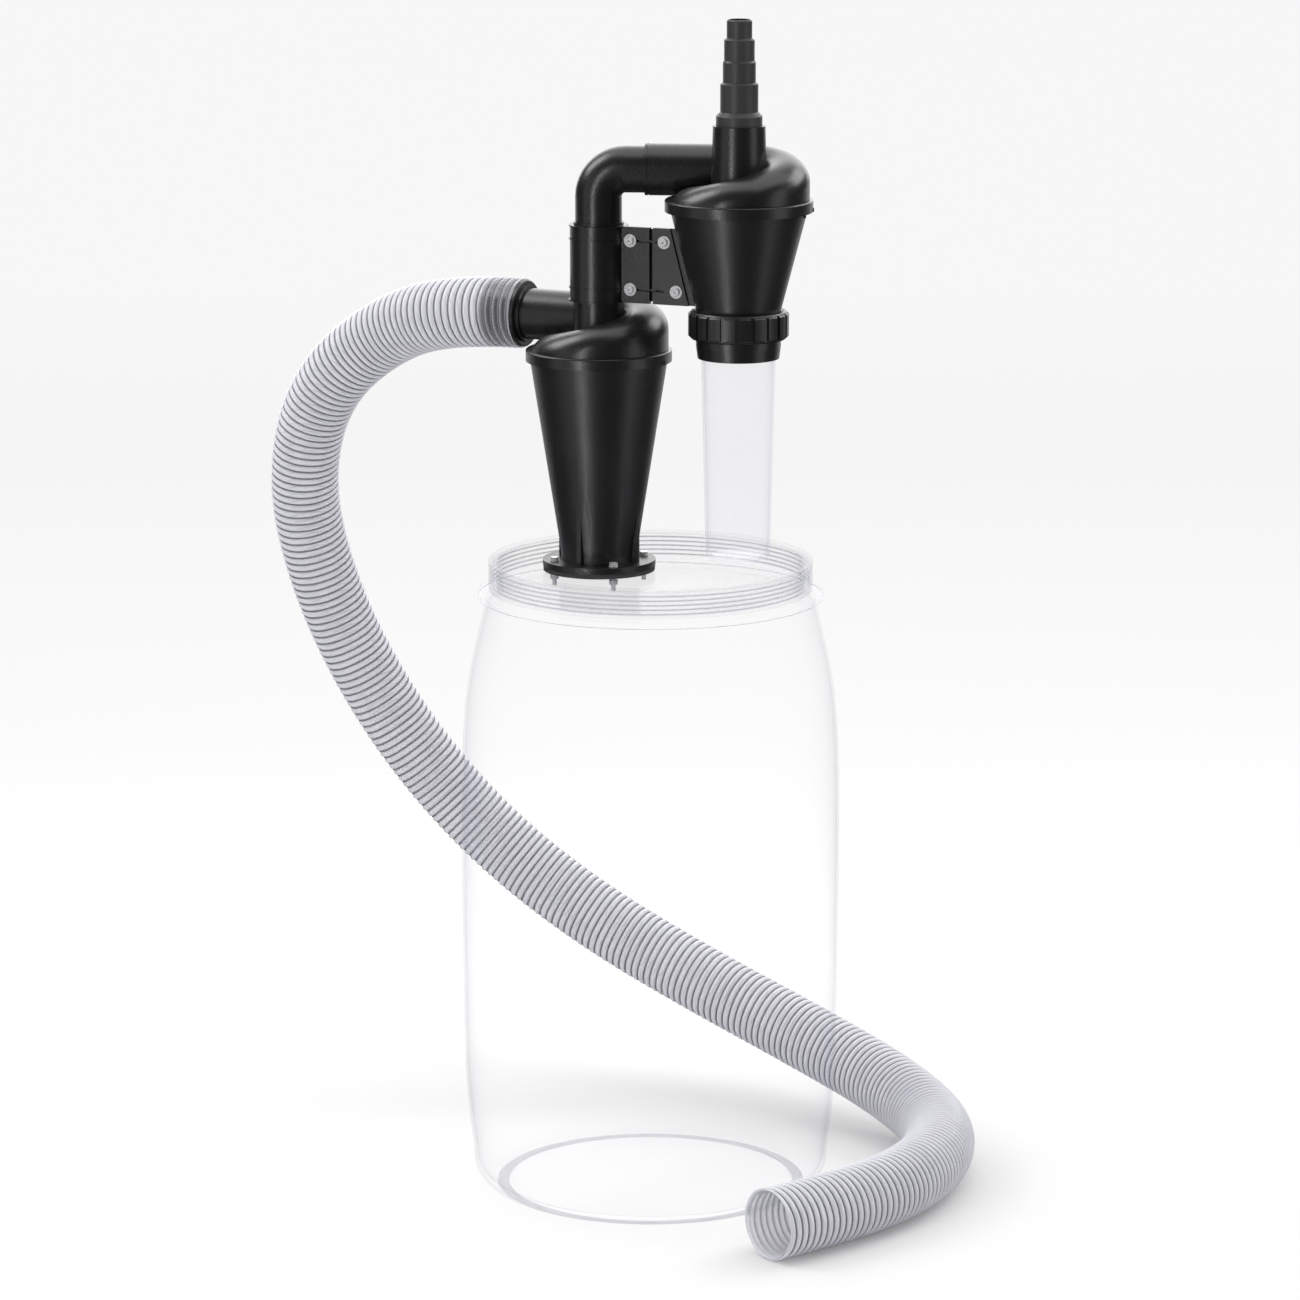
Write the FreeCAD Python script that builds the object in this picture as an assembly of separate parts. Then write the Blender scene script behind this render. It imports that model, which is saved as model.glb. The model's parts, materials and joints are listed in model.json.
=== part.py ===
import FreeCAD, Part
import math
import os

os.makedirs("parts", exist_ok=True)

# Two-stage cyclone dust separator bolted to the screw lid of a clear drum
# Millimetres, +Z up, origin at the centre of the drum's foot, front towards -Y

V = FreeCAD.Vector
UP = V(0, 0, 1)

# Clearances between pieces, and how far a cutting or joining shape passes a face
SLIP = 0.3
TURN_GAP = 0.6
PASS = 1.0

# Drum: blow-moulded barrel with a wide screw neck
DRUM_HEIGHT = 703.0
DRUM_WALL = 2.5
FOOT_RADIUS = 170.5
FOOT_WIDTH = 11.5
FOOT_RISE = 6.0
HEEL_RADIUS = 196.5
HEEL_HEIGHT = 40.0
HEEL_BEND_OUT = 0.72
HEEL_BEND_UP = 0.3
BELLY_RADIUS = 208.8
SHOULDER_WIDTH = 8.5
SHOULDER_DROP = 42.0
NECK_RADIUS = 172.5
NECK_WALL = 3.5
NECK_COLLAR_WIDTH = 16.9
NECK_COLLAR_HEIGHT = 6.5
NECK_COLLAR_DROP = 36.0

# Side of the drum: shares of its height, and of the swell and the fall of its radius
LOW_SIDE = 0.10
LOW_SIDE_SWELL = 0.593
MIDDLE_SIDE = 0.30
MIDDLE_SIDE_SWELL = 0.927
WIDEST_SIDE = 0.60
BEND_START = 0.76
BEND_START_FALL = 0.083
BEND_MIDDLE = 0.87
BEND_MIDDLE_FALL = 0.345
BEND_END = 0.945
BEND_END_FALL = 0.705

# Screw threads of the neck
THREAD_RIDGES = 5
THREAD_PITCH = 4.9
THREAD_DEPTH = 2.0
THREAD_DROP = 3.0

# Screw lid with a recessed panel
LID_WALL = 2.5
LID_TOP = 3.0
LID_SEAL = 1.4
LID_SKIRT_DEPTH = 32.0
LID_RECESS = 27.7
LID_PANEL = 3.0
LID_EDGE_ROUND = 1.2

# Where the two cyclones stand: the primary by the recess wall, the secondary beside it
PRIMARY_ANGLE = 124.16
PRIMARY_MARGIN = 2.386
LINK_LENGTH = 165.085
LINK_ANGLE = -22.0595

# Bolted foot of the primary cyclone
GASKET = 5.0
GASKET_RADIUS = 62.0
FLANGE_RADIUS = 62.7
FLANGE_THICKNESS = 7.0
BOLT_CIRCLE = 52.0
BOLT_COUNT = 4
BOLT_START = 18.0
BOLT_RADIUS = 2.5
BOLT_HOLE = 2.8
BOLT_HEAD_FLATS = 8.0
BOLT_HEAD_HEIGHT = 3.5
BOLT_LENGTH = 28.0
BOLT_WASHER_RADIUS = 5.0
BOLT_WASHER = 1.0
BOLT_NUT_HEIGHT = 4.0

# Primary cone
CONE_WALL = 3.5
PRIMARY_BORE = 38.5
PRIMARY_NECK = 8.0
PRIMARY_CONE_HEIGHT = 222.6
PRIMARY_MOUTH = 75.9
RIB_COUNT = 4
RIB_THICKNESS = 5.0
RIB_RADIUS = 49.0

# Rim joint between a cone and its spiral head
SKIRT_RADIUS = 80.8
SKIRT_DEPTH = 12.5
SKIRT_WALL = 3.2
ROOF = 3.0
RIM_LIP = 4.0
RIM_SEAL = 2.0
RIM_SEAL_WIDTH = 3.0
RIM_ROUND = 1.5
LUG_WIDTH = 2.6
LUG_HEIGHT = 4.6
LUG_PROUD = 1.0
LUG_ROOT = 2.0
LUG_OFFSET = 1.0
CATCH_OFFSET = 10.5
CATCH_DROP = 0.6
CATCH_SINK = 0.5

# Spiral heads: an arched channel that winds down round the outlet pipe
CHANNEL_RADIUS = 28.5
CHANNEL_ORBIT = 48.5
CHANNEL_WALL = 3.0
CHANNEL_DROP = 44.0
CHANNEL_SWEEP = 320.0
CHANNEL_STEP = 20.0
CHANNEL_RISE = 25.9
VORTEX_TUBE_DEPTH = 45.0

# Primary inlet and outlet pipes
PRIMARY_INLET_TURN = 25.0
PRIMARY_OUTLET_RADIUS = 27.9
PIPE_WALL = 2.7
PRIMARY_OUTLET_HEIGHT = 92.0

# Pipe sleeve, elbow and the inlet of the secondary head
SLEEVE_RADIUS = 31.6
SLEEVE_BEAD = 1.6
SLEEVE_BEAD_PROUD = 1.2
SLEEVE_BAND = 14.5
SLEEVE_LENGTH = 84.0
SLEEVE_LIFT = 54.4
SLEEVE_STOP = 3.0
ELBOW_RADIUS = 25.7
ELBOW_WALL = 2.5
ELBOW_BEND = 30.0
ELBOW_HEIGHT = 199.4
ELBOW_SPIGOT = 32.0
ELBOW_LIP_WIDTH = 2.0
ELBOW_LIP = 3.0
SECONDARY_INLET_START = 51.7
INLET_GROOVE_INSET = 3.2
INLET_GROOVE = 1.4
INLET_GROOVE_DEPTH = 0.9

# Secondary outlet and the stepped adapter in it, tier by tier from the lowest
OUTLET_FOOT_RADIUS = 30.2
OUTLET_TOP_RADIUS = 28.6
OUTLET_HEIGHT = 80.4
ADAPTER_WALL = 2.4
ADAPTER_SPIGOT = 26.0
COLLAR_RADIUS = 25.2
COLLAR_HEIGHT = 10.6
COLLAR_BEVEL = 4.5
FIRST_TIER_RADIUS = 20.7
FIRST_TIER_HEIGHT = 30.0
FIRST_TIER_BEVEL = 2.0
SECOND_TIER_RADIUS = 17.9
SECOND_TIER_HEIGHT = 21.5
SECOND_TIER_BEVEL = 2.2
THIRD_TIER_RADIUS = 16.6
THIRD_TIER_HEIGHT = 22.0
THIRD_TIER_BEVEL = 2.3
TOP_TIER_RADIUS = 13.8
TOP_TIER_HEIGHT = 19.6
TOP_TIER_ROUND = 1.4

# Secondary cone with its threaded neck
SECONDARY_MOUTH = 74.6
SECONDARY_END = 46.4
SECONDARY_CONE_HEIGHT = 108.5
SECONDARY_NECK_RADIUS = 48.4
SECONDARY_NECK = 21.0
SECONDARY_NECK_WALL = 7.0
SECONDARY_THROAT = 4.0

# Union nut, clear dust tube and the socket that holds it
NUT_RADIUS = 53.0
NUT_LOBE_RADIUS = 55.0
NUT_HEIGHT = 30.5
NUT_EDGE = 1.5
NUT_LOBES = 20
NUT_LOBE_INSET = 2.0
NUT_LOBE_EDGE = 1.5
NUT_GROOVE_ANGLE = 4.5
NUT_LIP = 3.5
SOCKET_FLANGE = 4.0
SOCKET_RADIUS = 46.5
SOCKET_END_RADIUS = 44.8
SOCKET_LENGTH = 25.4
SOCKET_TAPER = 14.0
TUBE_SEAL = 2.0
TUBE_TOP_RADIUS = 40.7
TUBE_END_RADIUS = 35.6
TUBE_BASE_RADIUS = 29.0
TUBE_BASE_ROUND = 9.0
TUBE_BEND_OUT = 0.72
TUBE_BEND_UP = 0.28
TUBE_LENGTH = 247.0
TUBE_WALL = 2.2
TUBE_BASE = 3.0

# Bracket between the sleeve and the secondary cone
TAB_THICKNESS = 6.0
TAB_FRONT = 8.0
TAB_ROOT = 22.5
TAB_GAP_CENTRE = 65.3
TAB_GAP = 4.2
TAB_CLEAR = 9.0
WEB_THICKNESS = 3.0
PLATE_THICKNESS = 4.0
PLATE_START = 34.0
PLATE_MARGIN = 2.0
PLATE_TUCK = 1.0
SCREW_INSET_LOW = 14.9
SCREW_INSET_TOP = 15.3
SCREW_LEFT = 40.9
SCREW_RIGHT_TOP = 80.8
SCREW_RIGHT_LOW = 95.0
SCREW_RADIUS = 2.5
SCREW_HOLE = 2.8
SCREW_HEAD_RADIUS = 4.7
SCREW_HEAD_HEIGHT = 2.8
SCREW_SOCKET_FLATS = 3.0
SCREW_SOCKET_DEPTH = 1.8
SCREW_WASHER_RADIUS = 7.1
SCREW_WASHER = 1.2
SCREW_NUT_HEIGHT = 4.0
SCREW_NUT_FLATS = 8.0
SCREW_TAIL = 2.0
KEY_HEIGHT = 1.8
KEY_SLOT = 2.6
KEY_DEPTH = 3.5
KEY_START = 50.0
KEY_END = 71.0

# Hose cuff and hose
CUFF_START = 112.0
CUFF_FLANGE_RADIUS = 37.3
CUFF_FLANGE = 4.0
CUFF_EDGE = 1.0
CUFF_HUB_RADIUS = 31.8
CUFF_HUB = 4.0
CUFF_BARREL = 41.0
CUFF_STOP = 3.0
HOSE_OUTER = 39.7
HOSE_INNER = 35.3
HOSE_BEND_SHARE = 0.45
HOSE_POINTS = [
    (-141.7, 177.0, 953), (-209.6, 208.7, 953), (-294, 277, 925), (-379, 328, 847),
    (-407, 371, 729), (-382, 408, 598), (-326, 431, 470), (-251, 435, 359),
    (-163, 421, 270), (-61, 389, 199), (53, 337, 143), (170, 267, 96),
    (270, 182, 60), (325, 81, 39.7), (324, -33, 39.7), (282, -141, 39.7),
    (211, -229, 39.7), (126, -297, 39.7)]

# Heights that follow from the sizes above
lid_underside = DRUM_HEIGHT + SLIP + LID_SEAL
lid_rim = lid_underside + LID_TOP
panel_top = lid_rim - LID_RECESS
panel_bottom = panel_top - LID_PANEL
flange_bottom = panel_top + GASKET
flange_top = flange_bottom + FLANGE_THICKNESS
primary_mouth_height = flange_top + PRIMARY_CONE_HEIGHT
primary_rim = primary_mouth_height + SKIRT_DEPTH
sleeve_bottom = primary_rim + SLEEVE_LIFT
sleeve_top = sleeve_bottom + SLEEVE_LENGTH
elbow_height = primary_rim + ELBOW_HEIGHT
secondary_rim = elbow_height - CHANNEL_RISE
secondary_mouth_height = secondary_rim - SKIRT_DEPTH
secondary_cone_end = secondary_mouth_height - SECONDARY_CONE_HEIGHT
neck_bottom = secondary_cone_end - SECONDARY_NECK
socket_top = neck_bottom - TUBE_SEAL
nut_bottom = socket_top - SOCKET_FLANGE - NUT_LIP - SLIP
outlet_top = secondary_rim + OUTLET_HEIGHT

# Radii that follow from the sizes above
shoulder_radius = NECK_RADIUS + SHOULDER_WIDTH
neck_collar_radius = NECK_RADIUS + NECK_COLLAR_WIDTH
lid_plug_radius = NECK_RADIUS - NECK_WALL - TURN_GAP
recess_radius = lid_plug_radius - LID_WALL
skirt_bore = NECK_RADIUS + THREAD_DEPTH + TURN_GAP
rim_bore = SKIRT_RADIUS - SKIRT_WALL
cuff_barrel_radius = HOSE_INNER - SLIP


def away(distance, angle):
    """Level step of a given length in the direction of an angle."""
    return V(distance * math.cos(math.radians(angle)), distance * math.sin(math.radians(angle)), 0)


# Places that follow from the sizes above
PRIMARY = away(recess_radius - GASKET_RADIUS - PRIMARY_MARGIN, PRIMARY_ANGLE)
SECONDARY = PRIMARY + away(LINK_LENGTH, LINK_ANGLE)
inlet_drift = math.degrees(math.asin(CHANNEL_ORBIT / LINK_LENGTH))
secondary_inlet_turn = -LINK_ANGLE - inlet_drift
cuff_end = CUFF_START + CUFF_FLANGE + CUFF_BARREL
primary_inlet_length = cuff_end - CUFF_STOP


# Shape helpers

def turned(points, axis=V(0, 0, 0)):
    """Full turn of a closed outline of (radius, height) points about an upright axis.

    A point of four numbers ends an arc that passes through its first pair.
    """
    ends = [V(point[-2], 0, point[-1]) for point in points]
    edges = []
    for index, point in enumerate(points):
        start = ends[index - 1]
        if len(point) == 4:
            middle = V(point[0], 0, point[1])
            edges.append(Part.Arc(start, middle, ends[index]).toShape())
        else:
            edges.append(Part.makeLine(start, ends[index]))
    solid = Part.Face(Part.Wire(edges)).revolve(V(0, 0, 0), UP, 360)
    solid.translate(V(axis.x, axis.y, 0))
    return solid


def upright(radius, bottom, top, axis=V(0, 0, 0)):
    """Upright cylinder between two heights."""
    return Part.makeCylinder(radius, top - bottom, V(axis.x, axis.y, bottom), UP)


def washer_ring(outer, inner, bottom, top, axis=V(0, 0, 0)):
    """Upright ring between two heights."""
    return upright(outer, bottom, top, axis).cut(upright(inner, bottom, top, axis))


def hexagon(flats, bottom, height, axis=V(0, 0, 0)):
    """Upright hexagonal prism."""
    corner = flats / math.sqrt(3)
    points = []
    for index in range(7):
        angle = math.radians(60 * index)
        points.append(V(axis.x + corner * math.cos(angle), axis.y + corner * math.sin(angle), bottom))
    return Part.Face(Part.makePolygon(points)).extrude(V(0, 0, height))


def slab(x_range, y_range, z_range):
    """Block between three pairs of limits."""
    size = [limits[1] - limits[0] for limits in (x_range, y_range, z_range)]
    return Part.makeBox(size[0], size[1], size[2], V(x_range[0], y_range[0], z_range[0]))


def turned_copy(shape, angle, centre=V(0, 0, 0)):
    """Copy turned about the upright line through a centre."""
    copy = shape.copy()
    copy.rotate(centre, UP, angle)
    return copy


def save(name, shape):
    """Write one node and print its solids and volume."""
    clean = shape.removeSplitter() if shape.ShapeType != "Solid" else shape
    clean.exportStep("parts/" + name + ".step")
    print(name, len(clean.Solids), round(clean.Volume), clean.isValid())


# Drum

def drum_wall_points(inset):
    """Side of the barrel from heel to shoulder, moved in by the wall."""
    top = DRUM_HEIGHT - SHOULDER_DROP
    span = top - HEEL_HEIGHT
    swell = BELLY_RADIUS - HEEL_RADIUS
    fall = BELLY_RADIUS - shoulder_radius
    places = [(0, HEEL_RADIUS),
              (LOW_SIDE, HEEL_RADIUS + LOW_SIDE_SWELL * swell),
              (MIDDLE_SIDE, HEEL_RADIUS + MIDDLE_SIDE_SWELL * swell),
              (WIDEST_SIDE, BELLY_RADIUS),
              (BEND_START, BELLY_RADIUS - BEND_START_FALL * fall),
              (BEND_MIDDLE, BELLY_RADIUS - BEND_MIDDLE_FALL * fall),
              (BEND_END, BELLY_RADIUS - BEND_END_FALL * fall),
              (1, shoulder_radius)]
    return [V(radius - inset, 0, HEEL_HEIGHT + share * span) for share, radius in places]


def barrel(inset, bottom, foot_points, neck_points):
    """Solid barrel: foot, heel arc, spline side and neck, turned about the axis."""
    side = Part.BSplineCurve()
    side.interpolate(drum_wall_points(inset))
    corners = [V(r, 0, z) for r, z in foot_points]
    edges = [Part.makeLine(a, b) for a, b in zip(corners, corners[1:])]
    heel_end = V(HEEL_RADIUS - inset, 0, HEEL_HEIGHT)
    heel_reach = HEEL_RADIUS - FOOT_RADIUS
    bend = V(FOOT_RADIUS - inset + HEEL_BEND_OUT * heel_reach, 0,
             bottom + HEEL_BEND_UP * (HEEL_HEIGHT - bottom))
    edges.append(Part.Arc(corners[-1], bend, heel_end).toShape())
    edges.append(side.toShape())
    upper = [side.EndPoint] + [V(r, 0, z) for r, z in neck_points]
    edges += [Part.makeLine(a, b) for a, b in zip(upper, upper[1:])]
    edges.append(Part.makeLine(upper[-1], corners[0]))
    return Part.Face(Part.Wire(edges)).revolve(V(0, 0, 0), UP, 360)


def neck_outline():
    """Collar and screw threads outside the neck, from the shoulder up."""
    collar_top = DRUM_HEIGHT - NECK_COLLAR_DROP + NECK_COLLAR_HEIGHT
    collar_bottom = collar_top - NECK_COLLAR_HEIGHT
    points = [(shoulder_radius, collar_bottom), (neck_collar_radius, collar_bottom),
              (neck_collar_radius, collar_top), (NECK_RADIUS, collar_top)]
    first = DRUM_HEIGHT - THREAD_DROP - (THREAD_RIDGES - 1) * THREAD_PITCH
    for ridge in range(THREAD_RIDGES):
        height = first + ridge * THREAD_PITCH
        points.append((NECK_RADIUS, height - THREAD_DEPTH))
        points.append((NECK_RADIUS + THREAD_DEPTH, height))
        points.append((NECK_RADIUS, height + THREAD_DEPTH / 2))
    points += [(NECK_RADIUS, DRUM_HEIGHT), (0, DRUM_HEIGHT)]
    return points


def make_drum():
    inner_foot = FOOT_RADIUS - FOOT_WIDTH
    foot = [(0, FOOT_RISE), (inner_foot - FOOT_RISE, FOOT_RISE), (inner_foot, 0), (FOOT_RADIUS, 0)]
    outer = barrel(0, 0, foot, neck_outline())
    floor = FOOT_RISE + DRUM_WALL
    bore = NECK_RADIUS - NECK_WALL
    neck = [(bore, DRUM_HEIGHT - NECK_COLLAR_DROP), (bore, DRUM_HEIGHT), (0, DRUM_HEIGHT)]
    inner_floor = [(0, floor), (FOOT_RADIUS - DRUM_WALL, floor)]
    inner = barrel(DRUM_WALL, floor, inner_floor, neck)
    save("drum_body", outer.cut(inner))


def bolt_places():
    """Centres of the flange bolts."""
    places = []
    for index in range(BOLT_COUNT):
        angle = math.radians(BOLT_START + index * 360 / BOLT_COUNT)
        places.append(PRIMARY + V(BOLT_CIRCLE * math.cos(angle), BOLT_CIRCLE * math.sin(angle), 0))
    return places


def with_bolt_holes(shape, bottom, top):
    """Cut the flange bolt holes through a layer."""
    for place in bolt_places():
        shape = shape.cut(upright(BOLT_HOLE, bottom, top, place))
    return shape


def make_lid():
    skirt_outer = skirt_bore + LID_WALL
    bottom = lid_rim - LID_SKIRT_DEPTH
    edge = LID_EDGE_ROUND
    corner = edge * (1 - math.sqrt(0.5))
    points = [(0, panel_bottom), (lid_plug_radius, panel_bottom), (lid_plug_radius, lid_underside),
              (skirt_bore, lid_underside), (skirt_bore, bottom), (skirt_outer, bottom),
              (skirt_outer, lid_rim - edge),
              (skirt_outer - corner, lid_rim - corner, skirt_outer - edge, lid_rim),
              (recess_radius + edge, lid_rim),
              (recess_radius + corner, lid_rim - corner, recess_radius, lid_rim - edge),
              (recess_radius, panel_top), (0, panel_top)]
    lid = turned(points).cut(upright(PRIMARY_BORE, panel_bottom, panel_top, PRIMARY))
    save("drum_lid", with_bolt_holes(lid, panel_bottom, panel_top))
    seal_inner = NECK_RADIUS - NECK_WALL
    save("lid_seal", washer_ring(NECK_RADIUS, seal_inner, lid_underside - LID_SEAL, lid_underside))


# Primary cyclone foot and cone

def make_flange_fasteners():
    gasket = washer_ring(GASKET_RADIUS, PRIMARY_BORE, panel_top, flange_bottom, PRIMARY)
    save("flange_gasket", with_bolt_holes(gasket, panel_top, flange_bottom))
    under_head = flange_top + BOLT_WASHER
    tip = under_head - BOLT_LENGTH
    bolts = []
    washers = []
    nuts = []
    for place in bolt_places():
        head = hexagon(BOLT_HEAD_FLATS, under_head, BOLT_HEAD_HEIGHT, place)
        bolts.append(head.fuse(upright(BOLT_RADIUS, tip, under_head, place)).removeSplitter())
        washers.append(washer_ring(BOLT_WASHER_RADIUS, BOLT_HOLE, flange_top, under_head, place))
        nut_top = panel_bottom - BOLT_WASHER
        washers.append(washer_ring(BOLT_WASHER_RADIUS, BOLT_HOLE, nut_top, panel_bottom, place))
        nut = hexagon(BOLT_HEAD_FLATS, nut_top - BOLT_NUT_HEIGHT, BOLT_NUT_HEIGHT, place)
        nuts.append(nut.cut(upright(BOLT_RADIUS, nut_top - BOLT_NUT_HEIGHT, nut_top, place)))
    save("flange_bolts", Part.makeCompound(bolts))
    save("flange_washers", Part.makeCompound(washers))
    save("flange_nuts", Part.makeCompound(nuts))


def rim_points(mouth, mouth_height):
    """Lip at the mouth of a cone that sits under a head's skirt, outside then inside."""
    lip = rim_bore - SLIP
    lip_top = mouth_height + SKIRT_DEPTH - ROOF - RIM_SEAL
    inner = mouth - CONE_WALL
    return [(mouth, mouth_height), (mouth, lip_top - RIM_LIP), (lip, lip_top - RIM_LIP),
            (lip, lip_top), (inner, lip_top), (inner, mouth_height)]


def catch_block(centre, plan_angle, radius, bottom, top):
    """Small upright catch that stands proud of a round wall."""
    reach = (radius - LUG_ROOT, radius + LUG_PROUD)
    block = slab(reach, (-LUG_WIDTH / 2, LUG_WIDTH / 2), (bottom, top))
    block.rotate(V(0, 0, 0), UP, plan_angle)
    block.translate(V(centre.x, centre.y, 0))
    return block


def make_primary_cone():
    neck_top = flange_top + PRIMARY_NECK
    neck = PRIMARY_BORE + CONE_WALL
    outer_points = [(0, flange_bottom), (FLANGE_RADIUS, flange_bottom), (FLANGE_RADIUS, flange_top),
                    (neck, flange_top), (neck, neck_top)]
    lip = rim_points(PRIMARY_MOUTH, primary_mouth_height)
    outer = turned(outer_points + lip[:4] + [(0, lip[3][1])], PRIMARY)
    inner_points = [(0, flange_bottom), (PRIMARY_BORE, flange_bottom), (PRIMARY_BORE, neck_top),
                    lip[5], lip[4], (0, lip[4][1])]
    inner = turned(inner_points, PRIMARY)
    slope = (PRIMARY_MOUTH - neck) / (primary_mouth_height - neck_top)
    rib_top = neck_top + (RIB_RADIUS - neck) / slope
    rib = slab((PRIMARY_BORE, RIB_RADIUS), (-RIB_THICKNESS / 2, RIB_THICKNESS / 2),
               (flange_top, rib_top))
    rib.translate(V(PRIMARY.x, PRIMARY.y, 0))
    for index in range(RIB_COUNT):
        angle = BOLT_START + (index + 0.5) * 360 / RIB_COUNT
        outer = outer.fuse(turned_copy(rib, angle, PRIMARY))
    cone = outer.cut(inner)
    catch_angle = -PRIMARY_INLET_TURN - CATCH_OFFSET
    catch_top = primary_mouth_height - CATCH_DROP
    catch_radius = PRIMARY_MOUTH - CATCH_SINK
    catch = catch_block(PRIMARY, catch_angle, catch_radius, catch_top - LUG_HEIGHT, catch_top)
    cone = cone.fuse(catch)
    save("primary_cone", with_bolt_holes(cone, flange_bottom, flange_top))


def make_rim_seal(name, mouth, rim, centre):
    top = rim - ROOF
    inner = mouth - CONE_WALL / 2
    save(name, washer_ring(inner + RIM_SEAL_WIDTH, inner, top - RIM_SEAL, top, centre))


# Spiral heads

def arch(radius, height, foot):
    """Half circle on two straight legs, in the plane of X = 0."""
    near = CHANNEL_ORBIT - radius
    far = CHANNEL_ORBIT + radius
    crown = Part.Arc(V(0, near, height), V(0, CHANNEL_ORBIT, height + radius), V(0, far, height))
    return Part.Wire([crown.toShape(),
                      Part.makeLine(V(0, far, height), V(0, far, foot)),
                      Part.makeLine(V(0, far, foot), V(0, near, foot)),
                      Part.makeLine(V(0, near, foot), V(0, near, height))])


def channel(radius):
    """Arched channel that winds clockwise round the axis from +Y, its crown going down."""
    wires = []
    count = int(round(CHANNEL_SWEEP / CHANNEL_STEP))
    for index in range(count + 1):
        turn = index * CHANNEL_STEP
        drop = CHANNEL_DROP / 2 * (1 - math.cos(math.pi * turn / CHANNEL_SWEEP))
        wire = arch(radius, CHANNEL_RISE - drop, -CHANNEL_DROP)
        wire.rotate(V(0, 0, 0), UP, -turn)
        wires.append(wire)
    return Part.makeLoft(wires, True, False)


def inlet_pipe(radius, length):
    """Straight pipe that runs into the start of the channel from -X."""
    return Part.makeCylinder(radius, length, V(-length, CHANNEL_ORBIT, CHANNEL_RISE), V(1, 0, 0))


def spiral_head(inlet_length, outlet_outline, outlet_bore, outlet_top_height):
    """Moulded head with its rim at height 0: skirt, channel, inlet and outlet."""
    skirt_bottom = -SKIRT_DEPTH
    edge = RIM_ROUND
    corner = edge * (1 - math.sqrt(0.5))
    cover = turned([(0, -ROOF), (rim_bore, -ROOF), (rim_bore, skirt_bottom),
                    (SKIRT_RADIUS, skirt_bottom), (SKIRT_RADIUS, -edge),
                    (SKIRT_RADIUS - corner, -corner, SKIRT_RADIUS - edge, 0), (0, 0)])
    below = upright(SKIRT_RADIUS, -2 * CHANNEL_DROP, -ROOF)
    winding = channel(CHANNEL_RADIUS).cut(below)
    outlet = turned(outlet_outline)
    pipe = inlet_pipe(CHANNEL_RADIUS, inlet_length)
    outside = cover.fuse(winding).fuse(pipe).fuse(outlet)
    core = upright(outlet_outline[1][0], -2 * CHANNEL_DROP, CHANNEL_RISE + 2 * CHANNEL_RADIUS)
    hollow = channel(CHANNEL_RADIUS - CHANNEL_WALL)
    hollow = hollow.fuse(inlet_pipe(CHANNEL_RADIUS - CHANNEL_WALL, inlet_length))
    hollow = hollow.cut(core)
    head = outside.cut(hollow)
    return head.cut(upright(outlet_bore, -VORTEX_TUBE_DEPTH, outlet_top_height))


def place_head(head, turn, rim, centre):
    """Turn a head so that its inlet comes forward by an angle, and set it on its cone."""
    placed = head.copy()
    placed.rotate(V(0, 0, 0), UP, -turn)
    placed.translate(V(centre.x, centre.y, rim))
    lug_angle = -turn - LUG_OFFSET
    bottom = rim - SKIRT_DEPTH
    lug = catch_block(centre, lug_angle, SKIRT_RADIUS, bottom, bottom + LUG_HEIGHT)
    return placed.fuse(lug).removeSplitter()


def make_primary_head():
    tube = PRIMARY_OUTLET_RADIUS
    outline = [(0, -VORTEX_TUBE_DEPTH), (tube, -VORTEX_TUBE_DEPTH), (tube, PRIMARY_OUTLET_HEIGHT),
               (0, PRIMARY_OUTLET_HEIGHT)]
    head = spiral_head(primary_inlet_length, outline, tube - PIPE_WALL, PRIMARY_OUTLET_HEIGHT)
    save("primary_head", place_head(head, PRIMARY_INLET_TURN, primary_rim, PRIMARY))


def make_secondary_head():
    foot = OUTLET_FOOT_RADIUS
    outline = [(0, -VORTEX_TUBE_DEPTH), (foot, -VORTEX_TUBE_DEPTH), (foot, CHANNEL_RISE),
               (OUTLET_TOP_RADIUS, OUTLET_HEIGHT), (0, OUTLET_HEIGHT)]
    reach = LINK_LENGTH * math.cos(math.radians(inlet_drift)) - SECONDARY_INLET_START
    head = spiral_head(reach, outline, COLLAR_RADIUS + SLIP, OUTLET_HEIGHT)
    mouth = V(-reach, CHANNEL_ORBIT, CHANNEL_RISE)
    along = V(1, 0, 0)
    head = head.cut(Part.makeCylinder(ELBOW_RADIUS + SLIP, ELBOW_SPIGOT, mouth, along))
    groove_start = mouth + along * INLET_GROOVE_INSET
    groove = Part.makeCylinder(CHANNEL_RADIUS + PASS, INLET_GROOVE, groove_start, along)
    groove_floor = CHANNEL_RADIUS - INLET_GROOVE_DEPTH
    head = head.cut(groove.cut(Part.makeCylinder(groove_floor, INLET_GROOVE, groove_start, along)))
    placed = place_head(head, secondary_inlet_turn, secondary_rim, SECONDARY)
    save("secondary_head", placed)


# Pipes between the two cyclones

def link_frame(shape):
    """Move a shape from the link's own frame, where +X runs from primary to secondary."""
    placed = shape.copy()
    placed.rotate(V(0, 0, 0), UP, LINK_ANGLE)
    placed.translate(PRIMARY)
    return placed


def tab_levels():
    """Heights of the two rows of bracket screws."""
    return (sleeve_bottom + SCREW_INSET_LOW, sleeve_top - SCREW_INSET_TOP)


def screw_places():
    """Bracket screws as distance along the link and height."""
    low, high = tab_levels()
    return [(SCREW_LEFT, low), (SCREW_LEFT, high), (SCREW_RIGHT_LOW, low), (SCREW_RIGHT_TOP, high)]


def front_cylinder(radius, along, height, front, back):
    """Cylinder along the link frame's Y between two depths."""
    return Part.makeCylinder(radius, back - front, V(along, front, height), V(0, 1, 0))


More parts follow.
